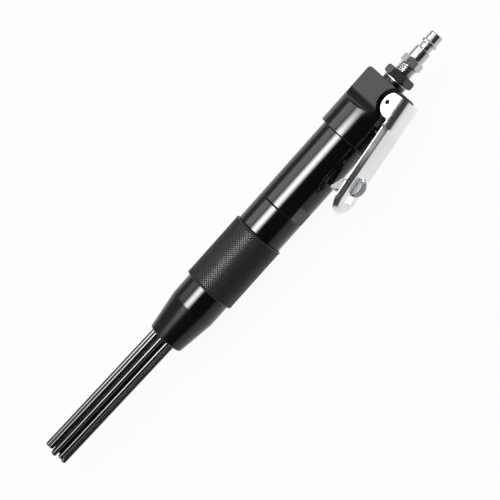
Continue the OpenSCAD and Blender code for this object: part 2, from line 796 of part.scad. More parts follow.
module front_adaptor() color(BODY_BLACK) {
  r = barrel_d / 2;
  thread_r = collar_thread_d / 2;
  difference() {
    turned([[0, adaptor_x], [r - edge, adaptor_x], [r, adaptor_x + edge], [r, collar_x - edge],
            [r - edge, collar_x], [thread_r, collar_x], [thread_r, adaptor_end_x], [0, adaptor_end_x]]);
    bar(front_thread_d + 2 * seat_gap, adaptor_x - cut, barrel_end_x + pass_gap);
    bar(cavity_d, barrel_end_x, cavity_end_x);
    bar(anvil_d + 2 * run_gap, adaptor_x - cut, adaptor_end_x + cut);
    bar(anvil_head_d + 2 * pass_gap, buffer_x, adaptor_end_x + cut);
  }
}

module anvil_buffer() color(RUBBER) {
  difference() {
    bar(anvil_head_d, buffer_x, buffer_x + buffer_t);
    bar(anvil_d + 2 * pass_gap, buffer_x - cut, buffer_x + buffer_t + cut);
  }
}

module anvil() color(STEEL) {
  r = anvil_d / 2;
  head_r = anvil_head_d / 2;
  turned([[0, anvil_x], [r - edge, anvil_x], [r, anvil_x + edge], [r, anvil_head_x], [head_r, anvil_head_x],
          [head_r, anvil_face_x - edge], [head_r - edge, anvil_face_x], [0, anvil_face_x]]);
}

module knurled_collar() color(SATIN_BLACK) {
  r = collar_d / 2;
  difference() {
    turned(concat([[0, collar_x]],
                  arc([r - collar_edge_r, collar_x + collar_edge_r], collar_edge_r, -90, 0),
                  arc([r - collar_edge_r, nose_x - collar_edge_r], collar_edge_r, 0, 90),
                  [[0, nose_x]]));
    bar(collar_thread_d + 2 * seat_gap, collar_x - cut, adaptor_end_x);
    bar(nose_flange_d + 2 * seat_gap, adaptor_end_x - cut, shoulder_x);
    bar(nose_land_d + 2 * seat_gap, shoulder_x - cut, nose_x + cut);
  }
}

module nose_sleeve() color(BODY_BLACK) {
  r = nose_d / 2;
  mouth_r = mouth_d / 2;
  lip_r = (mouth_d - mouth_bore_d) / 2 - edge;
  blend = 2;
  slope = (r - mouth_r) / taper_l;
  difference() {
    turned(concat([[0, adaptor_end_x], [nose_flange_d / 2, adaptor_end_x], [nose_flange_d / 2, shoulder_x],
                   [nose_land_d / 2, shoulder_x], [nose_land_d / 2, nose_x + edge], [r, nose_x + edge],
                   [r, taper_x - blend], [r - slope * blend / 2, taper_x + blend / 2]],
                  arc([mouth_r - lip_r, mouth_x - lip_r], lip_r, 0, 90), [[0, mouth_x]]));
    turned([[0, adaptor_end_x - cut], [nose_bore_d / 2, adaptor_end_x - cut],
            [nose_bore_d / 2, spring_seat_x], [throat_d / 2, spring_seat_x],
            [mouth_bore_d / 2, mouth_x - lip_r],
            [mouth_bore_d / 2, mouth_x + cut], [0, mouth_x + cut]]);
  }
}

// Needle pack

// Places the children on the leaned axis of the needle pack, its pivot at the holder's plate
module leaned() {
  away = [0, -cos(35), sin(35)];
  translate([pivot_plate_x, 0, 0])
    rotate(a = needle_lean, v = cross([1, 0, 0], away))
      translate([-pivot_plate_x, 0, 0]) children();
}

// Place of needle i in the pack, as [radius, angle from +Y to +Z]
function needle_place(i) =
  i <= outer_n ? [outer_ring_r, ring_phase + 360 * (i - 1) / outer_n]
               : [inner_ring_r, ring_phase + 180 / outer_n + 360 * (i - outer_n - 1) / inner_n];

// How far needle i has dropped forward in its play
function needle_drop(i) = needle_play * ((i * 5) % needle_n) / needle_n;

module at_needle(i) {
  place = needle_place(i);
  translate([0, place[0] * cos(place[1]), place[0] * sin(place[1])]) children();
}

module needle_holder() color(STEEL) {
  end_x = plate_x + plate_t;
  difference() {
    bar(holder_d, heads_x, end_x);
    bar(skirt_bore_d, heads_x - cut, plate_x);
    for (i = [1:needle_n]) at_needle(i) bar(needle_hole_d, plate_x - cut, end_x + cut);
  }
}

module return_spring() color(STEEL) {
  length = spring_seat_x - spring_x - spring_wire_d - pass_gap;
  translate([spring_x + spring_wire_d / 2, 0, 0]) rotate([0, 90, 0])
    wire_coil((spring_od - spring_wire_d) / 2, spring_wire_d, spring_turns, length);
}

module needle(i) color(NEEDLE_STEEL) {
  start_x = heads_x + needle_drop(i);
  end_x = start_x + needle_l;
  r = needle_d / 2;
  head_r = needle_head_d / 2;
  tip_edge = 0.6;
  leaned() at_needle(i)
    turned([[0, start_x], [head_r, start_x], [head_r, start_x + needle_head_l],
            [r, start_x + needle_head_l], [r, end_x - tip_edge], [r - tip_edge, end_x], [0, end_x]]);
}

hose_plug();
inlet_bushing();
inlet_seal();
inlet_screen();
valve_head();
stem_bushing();
stem_seal();
throttle_stem();
throttle_ball();
throttle_spring();
valve_plug();
throttle_lever();
lever_pin();
safety_latch();
latch_pin();
latch_spring();
barrel();
barrel_seal();
valve_chest();
valve_plate();
valve_seat();
piston();
front_adaptor();
adaptor_seal();
anvil_buffer();
anvil();
knurled_collar();
nose_sleeve();
needle_holder();
return_spring();
for (i = [1:needle_n]) needle(i);
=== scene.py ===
import json
import math
import bpy
from mathutils import Matrix, Vector


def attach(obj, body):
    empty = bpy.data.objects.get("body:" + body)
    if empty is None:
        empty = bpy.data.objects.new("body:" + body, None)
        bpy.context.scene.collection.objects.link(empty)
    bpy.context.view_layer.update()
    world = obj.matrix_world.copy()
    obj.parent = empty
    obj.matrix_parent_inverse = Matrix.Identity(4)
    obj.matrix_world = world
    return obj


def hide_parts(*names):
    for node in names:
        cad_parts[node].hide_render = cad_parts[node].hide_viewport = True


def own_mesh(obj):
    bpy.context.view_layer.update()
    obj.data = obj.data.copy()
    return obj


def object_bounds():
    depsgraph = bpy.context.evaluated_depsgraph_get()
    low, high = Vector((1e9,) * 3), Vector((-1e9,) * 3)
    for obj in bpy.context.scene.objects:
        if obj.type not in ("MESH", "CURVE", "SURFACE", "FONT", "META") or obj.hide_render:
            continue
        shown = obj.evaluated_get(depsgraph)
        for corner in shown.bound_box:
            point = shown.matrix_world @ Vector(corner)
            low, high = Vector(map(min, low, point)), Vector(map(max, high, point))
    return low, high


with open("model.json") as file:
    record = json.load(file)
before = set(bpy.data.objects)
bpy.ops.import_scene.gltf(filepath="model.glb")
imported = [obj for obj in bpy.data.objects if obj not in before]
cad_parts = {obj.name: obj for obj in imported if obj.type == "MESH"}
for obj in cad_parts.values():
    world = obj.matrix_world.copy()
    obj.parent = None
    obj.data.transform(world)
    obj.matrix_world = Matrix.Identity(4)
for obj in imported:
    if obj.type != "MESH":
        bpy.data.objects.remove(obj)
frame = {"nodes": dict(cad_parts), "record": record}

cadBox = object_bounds()  # the CAD model's own box, before any dressing
mm = 0.001            # the sizes of the pieces are in millimetres
mergeGap = 0.002      # vertices nearer than this become one
drawGap = 0.001       # the same for a line that is being drawn
slack = 0.01          # room for rounding where places are compared or cut
past = 1.0            # how far a cutting tool runs past what it cuts
reach = 30.0          # half the depth of a tool that cuts right through

for name in ("Cube", "Light", "Camera"):  # what Blender's start-up file brings
    if name in bpy.data.objects:
        bpy.data.objects.remove(bpy.data.objects[name])


# Modelling helpers

def deselectAll():
    if bpy.context.object and bpy.context.object.mode != "OBJECT":
        bpy.ops.object.mode_set(mode="OBJECT")
    bpy.ops.object.select_all(action="DESELECT")


def pickOnly(piece):
    deselectAll()
    piece.select_set(True)
    bpy.context.view_layer.objects.active = piece


def editAll():  # edit mode on the active piece, with all of it selected
    bpy.ops.object.mode_set(mode="EDIT")
    bpy.ops.mesh.select_all(action="SELECT")


def drawOut(way):  # extrudes what is selected
    bpy.ops.mesh.extrude_region_move(TRANSFORM_OT_translate={"value": way})


def applyAll(piece):
    pickOnly(piece)
    for modifier in list(piece.modifiers):
        bpy.ops.object.modifier_apply(modifier=modifier.name)


def softenEdges(piece, width, segments=3, angle=30):
    bevel = piece.modifiers.new("edges", "BEVEL")
    bevel.width = width * mm
    bevel.segments = segments
    bevel.limit_method = "ANGLE"
    bevel.angle_limit = math.radians(angle)
    applyAll(piece)


def shadeSoft(piece, angle=35):  # smooth shading that keeps flats flat
    pickOnly(piece)
    bpy.ops.object.shade_smooth_by_angle(angle=math.radians(angle))
    weighted = piece.modifiers.new("normals", "WEIGHTED_NORMAL")
    weighted.keep_sharp = True
    applyAll(piece)


def pickVertices(piece, wanted):  # leaves the piece in edit mode with the wanted vertices selected
    pickOnly(piece)
    bpy.context.tool_settings.mesh_select_mode = (True, False, False)
    bpy.ops.object.mode_set(mode="EDIT")
    bpy.ops.mesh.select_all(action="DESELECT")
    bpy.ops.object.mode_set(mode="OBJECT")
    for vertex in piece.data.vertices:
        vertex.select = wanted(vertex.co / mm)
    bpy.ops.object.mode_set(mode="EDIT")


def tidyMesh(piece):
    pickOnly(piece)
    editAll()
    bpy.ops.mesh.remove_doubles(threshold=mergeGap * mm)
    bpy.ops.mesh.normals_make_consistent(inside=False)
    bpy.ops.object.mode_set(mode="OBJECT")


def thicken(piece, thickness):  # gives a sheet its thickness, inwards
    wall = piece.modifiers.new("wall", "SOLIDIFY")
    wall.thickness = thickness * mm
    wall.offset = -1
    applyAll(piece)


def sized(p, *corners):  # each part of a corner is a number, or the name of one in the dictionary
    return [tuple(p[part] if isinstance(part, str) else part for part in corner) for corner in corners]


def easeCorners(points, closed=True, steps=4):  # each point is (a, b, radius), and is rounded to its radius
    eased = []
    for index, (a, b, radius) in enumerate(points):
        here = Vector((a, b))
        if radius == 0 or (not closed and index in (0, len(points) - 1)):
            eased.append((a, b))
            continue
        before = (Vector(points[index - 1][:2]) - here).normalized()
        after = (Vector(points[(index + 1) % len(points)][:2]) - here).normalized()
        half = before.angle(after) / 2
        centre = here + (before + after).normalized() * radius / math.sin(half)
        first = here + before * radius / math.tan(half) - centre
        last = here + after * radius / math.tan(half) - centre
        start = math.atan2(first.y, first.x)
        sweep = (math.atan2(last.y, last.x) - start + math.pi) % (2 * math.pi) - math.pi
        for step in range(steps + 1):
            angle = start + sweep * step / steps
            eased.append((centre.x + radius * math.cos(angle), centre.y + radius * math.sin(angle)))
    return eased


def drawLine(name, points, closed=False):  # a line drawn vertex by vertex
    deselectAll()
    bpy.ops.mesh.primitive_plane_add(size=mm)
    piece = bpy.context.object
    piece.name = name
    editAll()
    bpy.ops.mesh.merge(type="CENTER")
    route = [Vector(point) * mm for point in points]
    if closed:
        route.append(route[0])
    bpy.ops.transform.translate(value=route[0])
    for before, after in zip(route, route[1:]):
        drawOut(after - before)
    bpy.ops.mesh.select_all(action="SELECT")
    bpy.ops.mesh.remove_doubles(threshold=drawGap * mm)
    bpy.ops.object.mode_set(mode="OBJECT")
    return piece


def turnPiece(name, outline, closed=True, steps=96):  # spins an (x, radius) outline round the tool axis
    piece = drawLine(name, [(x, radius, 0) for x, radius in outline], closed)
    editAll()
    bpy.ops.mesh.spin(steps=steps, angle=2 * math.pi, center=(0, 0, 0), axis=(1, 0, 0))
    tidyMesh(piece)
    return piece


def prism(name, outline, low=-reach, high=reach):  # closed (x, y) outline, filled and raised along z
    piece = drawLine(name, [(x, y, low) for x, y in outline], True)
    editAll()
    bpy.ops.mesh.edge_face_add()
    drawOut((0, 0, (high - low) * mm))
    tidyMesh(piece)
    return piece


def block(name, start, end, near, far, low=-reach, high=reach):
    return prism(name, [(start, near), (end, near), (end, far), (start, far)], low, high)


def circlePoints(centre, radius, start=0, end=360, steps=48):
    turns = [math.radians(start + (end - start) * step / steps) for step in range(steps + 1)]
    points = [(centre[0] + radius * math.cos(turn), centre[1] + radius * math.sin(turn)) for turn in turns]
    return points[:-1] if end - start == 360 else points


def cutWith(piece, tool, operation="DIFFERENCE"):
    boolean = piece.modifiers.new("cut", "BOOLEAN")
    boolean.operation = operation
    boolean.solver = "MANIFOLD"
    boolean.object = tool
    applyAll(piece)
    bpy.data.objects.remove(tool)


def joinInto(piece, others):
    deselectAll()
    for other in others:
        other.select_set(True)
    piece.select_set(True)
    bpy.context.view_layer.objects.active = piece
    bpy.ops.object.join()
    return piece


def copySolid(nodeName, flatAngle=0.5):  # merged copy of a CAD solid, its flat faces made whole again
    piece = bpy.data.objects.new(nodeName + "_dressed", frame["nodes"][nodeName].data.copy())
    bpy.context.scene.collection.objects.link(piece)
    pickOnly(piece)
    bpy.ops.mesh.customdata_custom_splitnormals_clear()
    editAll()
    bpy.ops.mesh.remove_doubles(threshold=mergeGap * mm)
    bpy.ops.mesh.dissolve_limited(angle_limit=math.radians(flatAngle))
    bpy.ops.object.mode_set(mode="OBJECT")
    return piece


hexTurning = {"slope": 0.9, "clear": 0.1}  # how a hexagon's corners are turned off


def hexNut(name, flats, start, end, chamfer):  # six-sided bar along X
    deselectAll()
    corner = flats / 2 / math.cos(math.pi / 6)
    bpy.ops.mesh.primitive_cylinder_add(vertices=6, radius=corner * mm, depth=(end - start) * mm)
    piece = bpy.context.object
    piece.name = name
    cornerUp = Matrix.Rotation(math.pi / 6, 4, "Z")
    piece.data.transform(Matrix.Rotation(math.pi / 2, 4, "Y") @ cornerUp)
    piece.data.transform(Matrix.Translation(((start + end) / 2 * mm, 0, 0)))
    face, wide = corner - chamfer * hexTurning["slope"], corner + hexTurning["clear"]
    cone = turnPiece(name + "Cone", [
        (start - slack, 0), (start - slack, face), (start + chamfer, wide),
        (end - chamfer, wide), (end + slack, face), (end + slack, 0)], False)
    cutWith(piece, cone, "INTERSECT")
    return piece


def finishPiece(piece, node, body):
    slotName = slotOf[node]
    piece.data.materials.clear()
    piece.data.materials.append(finishes[slotName])
    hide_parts(node)
    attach(piece, body)
    print(piece.name, len(piece.data.polygons), "faces")


# Material helpers

noise = {
    "fine": 6.0, "turnedCloud": 5.0, "plainCloud": 4.0,  # detail of each kind
    "low": 0.3, "high": 0.7,                             # where most of it lies
    "bumpDepth": 0.05,
}


def newMaterial(name):
    material = bpy.data.materials.new(name)
    material.use_nodes = True
    nodes = material.node_tree.nodes
    nodes.clear()
    output = nodes.new("ShaderNodeOutputMaterial")
    shader = nodes.new("ShaderNodeBsdfPrincipled")
    material.node_tree.links.new(shader.outputs["BSDF"], output.inputs["Surface"])
    return material, shader


def addNode(material, kind, **inputs):
    node = material.node_tree.nodes.new(kind)
    for key, value in inputs.items():
        node.inputs[key].default_value = value
    return node


def link(material, source, target):
    material.node_tree.links.new(source, target)


def objectCoords(material, scale=(1, 1, 1)):  # object coordinates stretched by scale
    coords = addNode(material, "ShaderNodeTexCoord")
    mapping = addNode(material, "ShaderNodeMapping", Scale=scale)
    link(material, coords.outputs["Object"], mapping.inputs["Vector"])
    return mapping.outputs["Vector"]


def noiseOn(material, vector, scale, detail):
    texture = addNode(material, "ShaderNodeTexNoise", Scale=scale, Detail=detail)
    link(material, vector, texture.inputs["Vector"])
    return texture.outputs["Fac"]


def spread(material, source, low, high, start=noise["low"], end=noise["high"]):  # maps onto low to high
    ramp = addNode(material, "ShaderNodeMapRange")
    ramp.inputs["From Min"].default_value = start
    ramp.inputs["From Max"].default_value = end
    ramp.inputs["To Min"].default_value = low
    ramp.inputs["To Max"].default_value = high
    link(material, source, ramp.inputs["Value"])
    return ramp.outputs["Result"]


def placeOn(material, axis="X"):  # place along an axis, in metres
    split = addNode(material, "ShaderNodeSeparateXYZ")
    link(material, objectCoords(material), split.inputs["Vector"])
    return split.outputs[axis]


def combine(material, operation, first, second):
    node = addNode(material, "ShaderNodeMath")
    node.operation = operation
    link(material, first, node.inputs[0])
    link(material, second, node.inputs[1])
    return node.outputs[0]


def within(material, source, middle, half):  # 1 where a place lies within half of the middle
    test = addNode(material, "ShaderNodeMath")
    test.operation = "COMPARE"
    test.inputs[1].default_value = middle * mm
    test.inputs[2].default_value = half * mm
    link(material, source, test.inputs[0])
    return test.outputs[0]


def tint(material, source, first, second):  # first is a colour, or what another node gives
    mix = addNode(material, "ShaderNodeMix")
    mix.data_type = "RGBA"
    if isinstance(first, tuple):
        mix.inputs["A"].default_value = (*first, 1)
    else:
        link(material, first, mix.inputs["A"])
    mix.inputs["B"].default_value = (*second, 1)
    link(material, source, mix.inputs["Factor"])
    return mix.outputs["Result"]


def bumpFrom(material, shader, source, strength):
    bump = addNode(material, "ShaderNodeBump", Strength=strength, Distance=noise["bumpDepth"] * mm)
    link(material, source, bump.inputs["Height"])
    link(material, bump.outputs["Normal"], shader.inputs["Normal"])


def turnedFinish(name, look):  # coated or bare metal with fine marks round the tool axis
    material, shader = newMaterial(name)
    rings = noiseOn(material, objectCoords(material, (1, 0, 0)), look["ringScale"], noise["fine"])
    cloud = noiseOn(material, objectCoords(material), look["cloudScale"], noise["turnedCloud"])
    roughness = spread(material, cloud, *look["roughness"])
    if "satin" in look:  # part of the piece is left satin
        start, full = (place * mm for place in look["satinSpan"])
        satin = spread(material, placeOn(material), 0, look["satin"], start, full)
        roughness = combine(material, "ADD", roughness, satin)
    colour = tint(material, cloud, look["colour"], look["otherColour"])
    if "flatColour" in look:  # the wrench flats are greyer
        middle, half, side = look["flatPlace"]
        lengthwise = within(material, placeOn(material), middle, half)
        milled = combine(material, "MULTIPLY", lengthwise, within(material, placeOn(material, "Z"), 0, side))
        colour = tint(material, milled, colour, look["flatColour"])
    link(material, colour, shader.inputs["Base Color"])
    link(material, roughness, shader.inputs["Roughness"])
    bumpFrom(material, shader, rings, look["ringBump"])
    shader.inputs["Metallic"].default_value = look["metallic"]
    shader.inputs["IOR"].default_value = look.get("ior", 1.5)
    return material


def plainFinish(name, look):  # metal, rubber or plating with a fine grain
    material, shader = newMaterial(name)
    stretched = objectCoords(material, look.get("stretch", (1, 1, 1)))
    grain = noiseOn(material, stretched, look["grainScale"], noise["fine"])
    cloud = noiseOn(material, objectCoords(material), look["cloudScale"], noise["plainCloud"])
    link(material, tint(material, cloud, look["colour"], look["otherColour"]), shader.inputs["Base Color"])
    roughness = spread(material, grain, *look["roughness"])
    if "satin" in look:  # where the hand holds it the finish is satin
        start, full, last, end = (place * mm for place in look["satinSpan"])
        rise = spread(material, placeOn(material), 0, look["satin"], start, full)
        fall = spread(material, placeOn(material), 1, 0, last, end)
        roughness = combine(material, "ADD", roughness, combine(material, "MULTIPLY", rise, fall))
    link(material, roughness, shader.inputs["Roughness"])
    bumpFrom(material, shader, grain, look["grainBump"])
    shader.inputs["Metallic"].default_value = look["metallic"]
    return material


# Finishes

glossBlack = {
    "colour": (0.0020, 0.0020, 0.0023), "otherColour": (0.0040, 0.0040, 0.0044), "roughness": (0.09, 0.13),
    "metallic": 0.0, "ior": 1.46, "ringScale": 2200.0, "ringBump": 0.02, "cloudScale": 60.0,
}
barrelCoat = {**glossBlack, "flatColour": (0.034, 0.034, 0.036), "flatPlace": (154.8, 5.4, 7.1)}
headCoat = {**glossBlack, "satin": 0.16, "satinSpan": (76.0, 70.0)}    # satin on the milled end
noseCoat = {**glossBlack, "satin": 0.08, "satinSpan": (251.0, 254.0)}  # and on the taper
satinBlack = {
    "colour": (0.011, 0.011, 0.012), "otherColour": (0.016, 0.016, 0.017), "roughness": (0.12, 0.16),
    "metallic": 0.0, "ior": 1.5, "ringScale": 2600.0, "ringBump": 0.02, "cloudScale": 90.0,
}
knurlBlack = {
    "colour": (0.002, 0.002, 0.0023), "otherColour": (0.004, 0.004, 0.0045), "roughness": (0.35, 0.41),
    "metallic": 0.0, "grainScale": 900.0, "grainBump": 0.02, "cloudScale": 120.0,
}
needleSteel = {
    "colour": (0.060, 0.061, 0.064), "otherColour": (0.095, 0.096, 0.100), "roughness": (0.11, 0.15),
    "metallic": 1.0, "stretch": (0.03, 1, 1), "grainScale": 1200.0, "grainBump": 0.004, "cloudScale": 70.0,
}
plugPlating = {
    "colour": (0.47, 0.48, 0.49), "otherColour": (0.52, 0.53, 0.54), "roughness": (0.17, 0.22),
    "metallic": 1.0, "grainScale": 700.0, "grainBump": 0.02, "cloudScale": 80.0,
}
leverPlating = {
    "colour": (0.86, 0.87, 0.88), "otherColour": (0.91, 0.92, 0.93), "roughness": (0.18, 0.24),
    "metallic": 1.0, "stretch": (0.2, 1, 1), "grainScale": 900.0, "grainBump": 0.02, "cloudScale": 80.0,
    "satin": 0.17, "satinSpan": (69.5, 72.5, 88.0, 106.0),
}
sheetSteel = {
    "colour": (0.33, 0.34, 0.35), "otherColour": (0.39, 0.40, 0.41), "roughness": (0.36, 0.44),
    "metallic": 1.0, "grainScale": 1100.0, "grainBump": 0.05, "cloudScale": 90.0,
}
latchPlating = {
    **sheetSteel, "colour": (0.25, 0.26, 0.27), "otherColour": (0.30, 0.31, 0.32), "roughness": (0.40, 0.48),
}
# the pins' dark colour is painted shade, standing in for the shade inside the lever's pin holes
pinPaintedShade = {
    **sheetSteel, "colour": (0.030, 0.030, 0.032), "otherColour": (0.055, 0.055, 0.058),
    "roughness": (0.28, 0.40),
}
innerSteel = {
    "colour": (0.42, 0.43, 0.44), "otherColour": (0.50, 0.51, 0.52), "roughness": (0.22, 0.34),
    "metallic": 1.0, "ringScale": 1800.0, "ringBump": 0.05, "cloudScale": 70.0,
}
plainBrass = {
    "colour": (0.12, 0.088, 0.040), "otherColour": (0.17, 0.125, 0.056), "roughness": (0.48, 0.58),
    "metallic": 1.0, "ringScale": 1500.0, "ringBump": 0.04, "cloudScale": 70.0,
}
sealRubber = {
    "colour": (0.012, 0.012, 0.012), "otherColour": (0.020, 0.020, 0.020), "roughness": (0.55, 0.7),
    "metallic": 0.0, "grainScale": 900.0, "grainBump": 0.1, "cloudScale": 80.0,
}
finishes = {
    "barrel_black": turnedFinish("barrelBlack", barrelCoat),
    "head_black": turnedFinish("headBlack", headCoat),
    "nose_black": turnedFinish("noseBlack", noseCoat),
    "collar_black": plainFinish("collarBlack", knurlBlack),
    "fitting_black": turnedFinish("fittingBlack", satinBlack),
    "needle_steel": plainFinish("needleSteel", needleSteel),
    "plug_chrome": plainFinish("plugChrome", plugPlating),
    "lever_chrome": plainFinish("leverChrome", leverPlating),
    "latch_steel": plainFinish("latchSteel", latchPlating),
    "pin_steel": plainFinish("pinSteel", pinPaintedShade),
    "spring_steel": plainFinish("springSteel", sheetSteel),
    "bright_steel": turnedFinish("groundSteel", innerSteel),
    "brass": turnedFinish("plainBrass", plainBrass),
    "seal_rubber": plainFinish("sealRubber", sealRubber),
}
slotOf = {entry["node"]: entry["material_slot"] for entry in frame["record"]["subparts"]}
for nodeName, nodeObject in frame["nodes"].items():
    nodeObject.data.materials.clear()
    nodeObject.data.materials.append(finishes[slotOf[nodeName]])
print("finishes on", len(frame["nodes"]), "nodes")


# Air plug

airPlug = {
    "tipRadius": 5.0, "tipEnd": 7.1, "tipEdge": 0.5, "ridgeRadius": 6.0, "ridgeEnd": 9.5, "neckRadius": 4.6,
    "neckEnd": 13.8, "bodyRadius": 6.0, "bodyEnd": 22.6, "boreRadius": 3.5, "boreEdge": 0.4, "slope": 0.4,
    "corner": 0.3, "hexFlats": 14.0, "hexEnd": 28.7, "hexChamfer": 1.0, "hexEdge": 0.15, "hexRoom": 0.2,
    "hexTurn": -4.0,  # as it was screwed in
    "threadRadius": 6.58, "threadDepth": 0.95, "threadPitch": 1.55, "threadFlank": 0.38, "threadEnd": 44.5,
    "threadWall": 0.5, "threadSteps": 64,
}


def makeThread(p, root):  # one turn of the outline, repeated along and closed inside the body
    start = p["hexEnd"] - p["threadPitch"]
    end = start + p["threadPitch"]
    flank = p["threadPitch"] * p["threadFlank"]
    thread = drawLine("plugThread", [
        (start, root, 0), (start + flank, p["threadRadius"], 0),
        (end - flank, p["threadRadius"], 0), (end, root, 0)])
    screw = thread.modifiers.new("thread", "SCREW")
    screw.axis = "X"
    screw.angle = 2 * math.pi
    screw.screw_offset = p["threadPitch"] * mm
    screw.iterations = int((p["threadEnd"] - start) / p["threadPitch"]) - 1
    screw.steps = p["threadSteps"]
    screw.render_steps = p["threadSteps"]
    screw.use_merge_vertices = True
    screw.merge_threshold = drawGap * mm
    applyAll(thread)
    tidyMesh(thread)
    thicken(thread, p["threadWall"])
    return thread


def makeAirPlug(p):
    slope, root = p["slope"], p["threadRadius"] - p["threadDepth"]
    tip, ridge, neck, bodyEnd = p["tipEnd"], p["ridgeEnd"], p["neckEnd"], p["bodyEnd"] + slope
    body = turnPiece("air_plug", easeCorners(sized(
        p, ("threadEnd", "boreRadius", 0), (0, "boreRadius", "boreEdge"), (0, "tipRadius", "tipEdge"),
        (tip - slope, "tipRadius", "corner"), (tip + slope, "ridgeRadius", "corner"),
        (ridge - slope, "ridgeRadius", "corner"), (ridge + slope, "neckRadius", "corner"),
        (neck - slope, "neckRadius", "corner"), (neck + slope, "bodyRadius", "corner"),
        (bodyEnd, "bodyRadius", 0), (bodyEnd, root, 0), ("threadEnd", root, 0))))
    nut = hexNut("plugHex", p["hexFlats"], p["bodyEnd"], p["hexEnd"], p["hexChamfer"])
    start, end, room = p["bodyEnd"] - past, p["hexEnd"] + past, p["boreRadius"] + p["hexRoom"]
    bore = [(start, 0), (start, room), (end, room), (end, 0)]
    cutWith(nut, turnPiece("plugHexBore", bore, closed=False, steps=48))
    softenEdges(nut, p["hexEdge"], segments=2, angle=25)
    nut.data.transform(Matrix.Rotation(math.radians(p["hexTurn"]), 4, "X"))
    joinInto(body, [nut, makeThread(p, root)])
    shadeSoft(body, angle=30)
    return body


finishPiece(makeAirPlug(airPlug), "hose_plug", "root")


# Inlet bushing and its sealing washer

inletBushing = {
    "hexFlats": 20.0, "start": 35.5, "hexEnd": 41.7, "hexChamfer": 1.3, "overlap": 0.5, "threadRadius": 8.33,
    "end": 56.3, "seatRadius": 6.63, "seatEnd": 44.8, "boreRadius": 4.5, "mouthChamfer": 0.7, "edge": 0.25,
    "washerRadius": 9.2, "washerBore": 8.38, "washerEnd": 43.1, "washerEdge": 0.4,
}


def makeInletBushing(p):
    piece = hexNut("inlet_bushing_dressed", p["hexFlats"], p["start"], p["hexEnd"], p["hexChamfer"])
    root = p["hexEnd"] - p["overlap"]
    spigot = turnPiece("bushingSpigot", [
        (root, 0), (root, p["threadRadius"]), (p["end"], p["threadRadius"]), (p["end"], 0)], False)
    cutWith(piece, spigot, "UNION")
    start, end, mouth = p["start"] - past, p["end"] + past, p["mouthChamfer"]
    bore = turnPiece("bushingBore", [
        (start, 0), (start, p["seatRadius"] + mouth + past), (p["start"] + mouth, p["seatRadius"]),
        (p["seatEnd"], p["seatRadius"]), (p["seatEnd"], p["boreRadius"]),
        (end, p["boreRadius"]), (end, 0)], False)
    cutWith(piece, bore)
    softenEdges(piece, p["edge"], segments=3, angle=25)
    shadeSoft(piece, angle=30)
    return piece


def makeWasher(p):
    piece = turnPiece("inlet_seal_dressed", easeCorners(sized(
        p, ("hexEnd", "washerBore", 0), ("hexEnd", "washerRadius", "washerEdge"),
        ("washerEnd", "washerRadius", "washerEdge"), ("washerEnd", "washerBore", 0))), steps=128)
    shadeSoft(piece, angle=40)
    return piece


finishPiece(makeInletBushing(inletBushing), "inlet_bushing", "root")
finishPiece(makeWasher(inletBushing), "inlet_seal", "root")


# The lever's sizes and place, which the head makes room for

throttleLever = {
    "pivot": (56.6, 15.1), "slope": 9.3, "sheet": 1.8, "back": -7.6, "foot": -5.0,
    "archWidth": 25.0, "archTop": 12.2, "archRadius": 8.4, "archLip": 0.0, "archEnd": 14.8,
    "handleWidth": 20.6, "handleTop": 10.8, "handleRadius": 2.9, "flare": 40.0, "lip": 0.7,
    "handleStart": 16.2, "tipCentre": 70.0, "tipSteps": 64, "end": 81.5, "stepCuts": 5, "stepSmooth": 0.8,
    "flange": 6.9, "flangeRise": 59.0, "endFlange": 7.2,
    "earCentre": (0.3, 5.795), "earRadius": 9.5, "earSteps": 40, "windowStart": 51.4, "windowEnd": 72.5,
    "windowWidth": 7.4, "windowCorner": 1.0, "windowDepth": (2.0, 14.0),
    "pinRadius": 1.85, "latchPin": (59.0, 8.4), "latchPinRadius": 1.3, "edge": 0.35,
}


def leverPlace(p):
    x, y = p["pivot"]
    return Matrix.Translation((x * mm, y * mm, 0)) @ Matrix.Rotation(math.radians(p["slope"]), 4, "Z")


# Valve head, from its own solid with every edge broken and its side flats run out in a longer cove

valveHead = {
    "edge": 0.35, "edgeSegments": 3, "radius": 20.8, "rimGap": 0.02,
    "flat": 15.0, "flatTurns": (90, 180, 270),
    "coveEnd": 73.0, "coveRadius": 10.0, "coveRoot": 1.0, "coveHalf": 20.0, "coveSteps": 20,
    "pocketRadius": 12.0,
}


def headCove(p, turn):  # what the longer cove adds at the foot of one flat
    radius, end = p["coveRadius"], p["coveEnd"]
    sweep = math.acos(1 - (p["radius"] - p["flat"]) / radius)
    start = end - radius * math.sin(sweep)
    root = p["flat"] - p["coveRoot"]
    curve = circlePoints((start, p["flat"] + radius), radius, -90, math.degrees(sweep) - 90, p["coveSteps"])
    cove = prism("headCove", curve + [(end, root), (start, root)], -p["coveHalf"], p["coveHalf"])
    cove.data.transform(Matrix.Rotation(math.radians(turn), 4, "X"))
    circle = circlePoints((0, 0), p["radius"] - p["rimGap"], steps=160)
    rim = prism("headRim", circle, start - 2 * past, end + 2 * past)
    rim.data.transform(Matrix.Rotation(math.pi / 2, 4, "Y"))
    cutWith(cove, rim, "INTERSECT")
    pocket = prism("earPocket", circlePoints(throttleLever["earCentre"], p["pocketRadius"]))
    pocket.data.transform(leverPlace(throttleLever))
    cutWith(cove, pocket)
    return cove


def makeValveHead(p):
    piece = copySolid("valve_head")
    softenEdges(piece, p["edge"], p["edgeSegments"], angle=24)
    for turn in p["flatTurns"]:
        cutWith(piece, headCove(p, turn), "UNION")
    shadeSoft(piece, angle=30)
    return piece


finishPiece(makeValveHead(valveHead), "valve_head", "root")


# Barrel, adaptor ring and nose

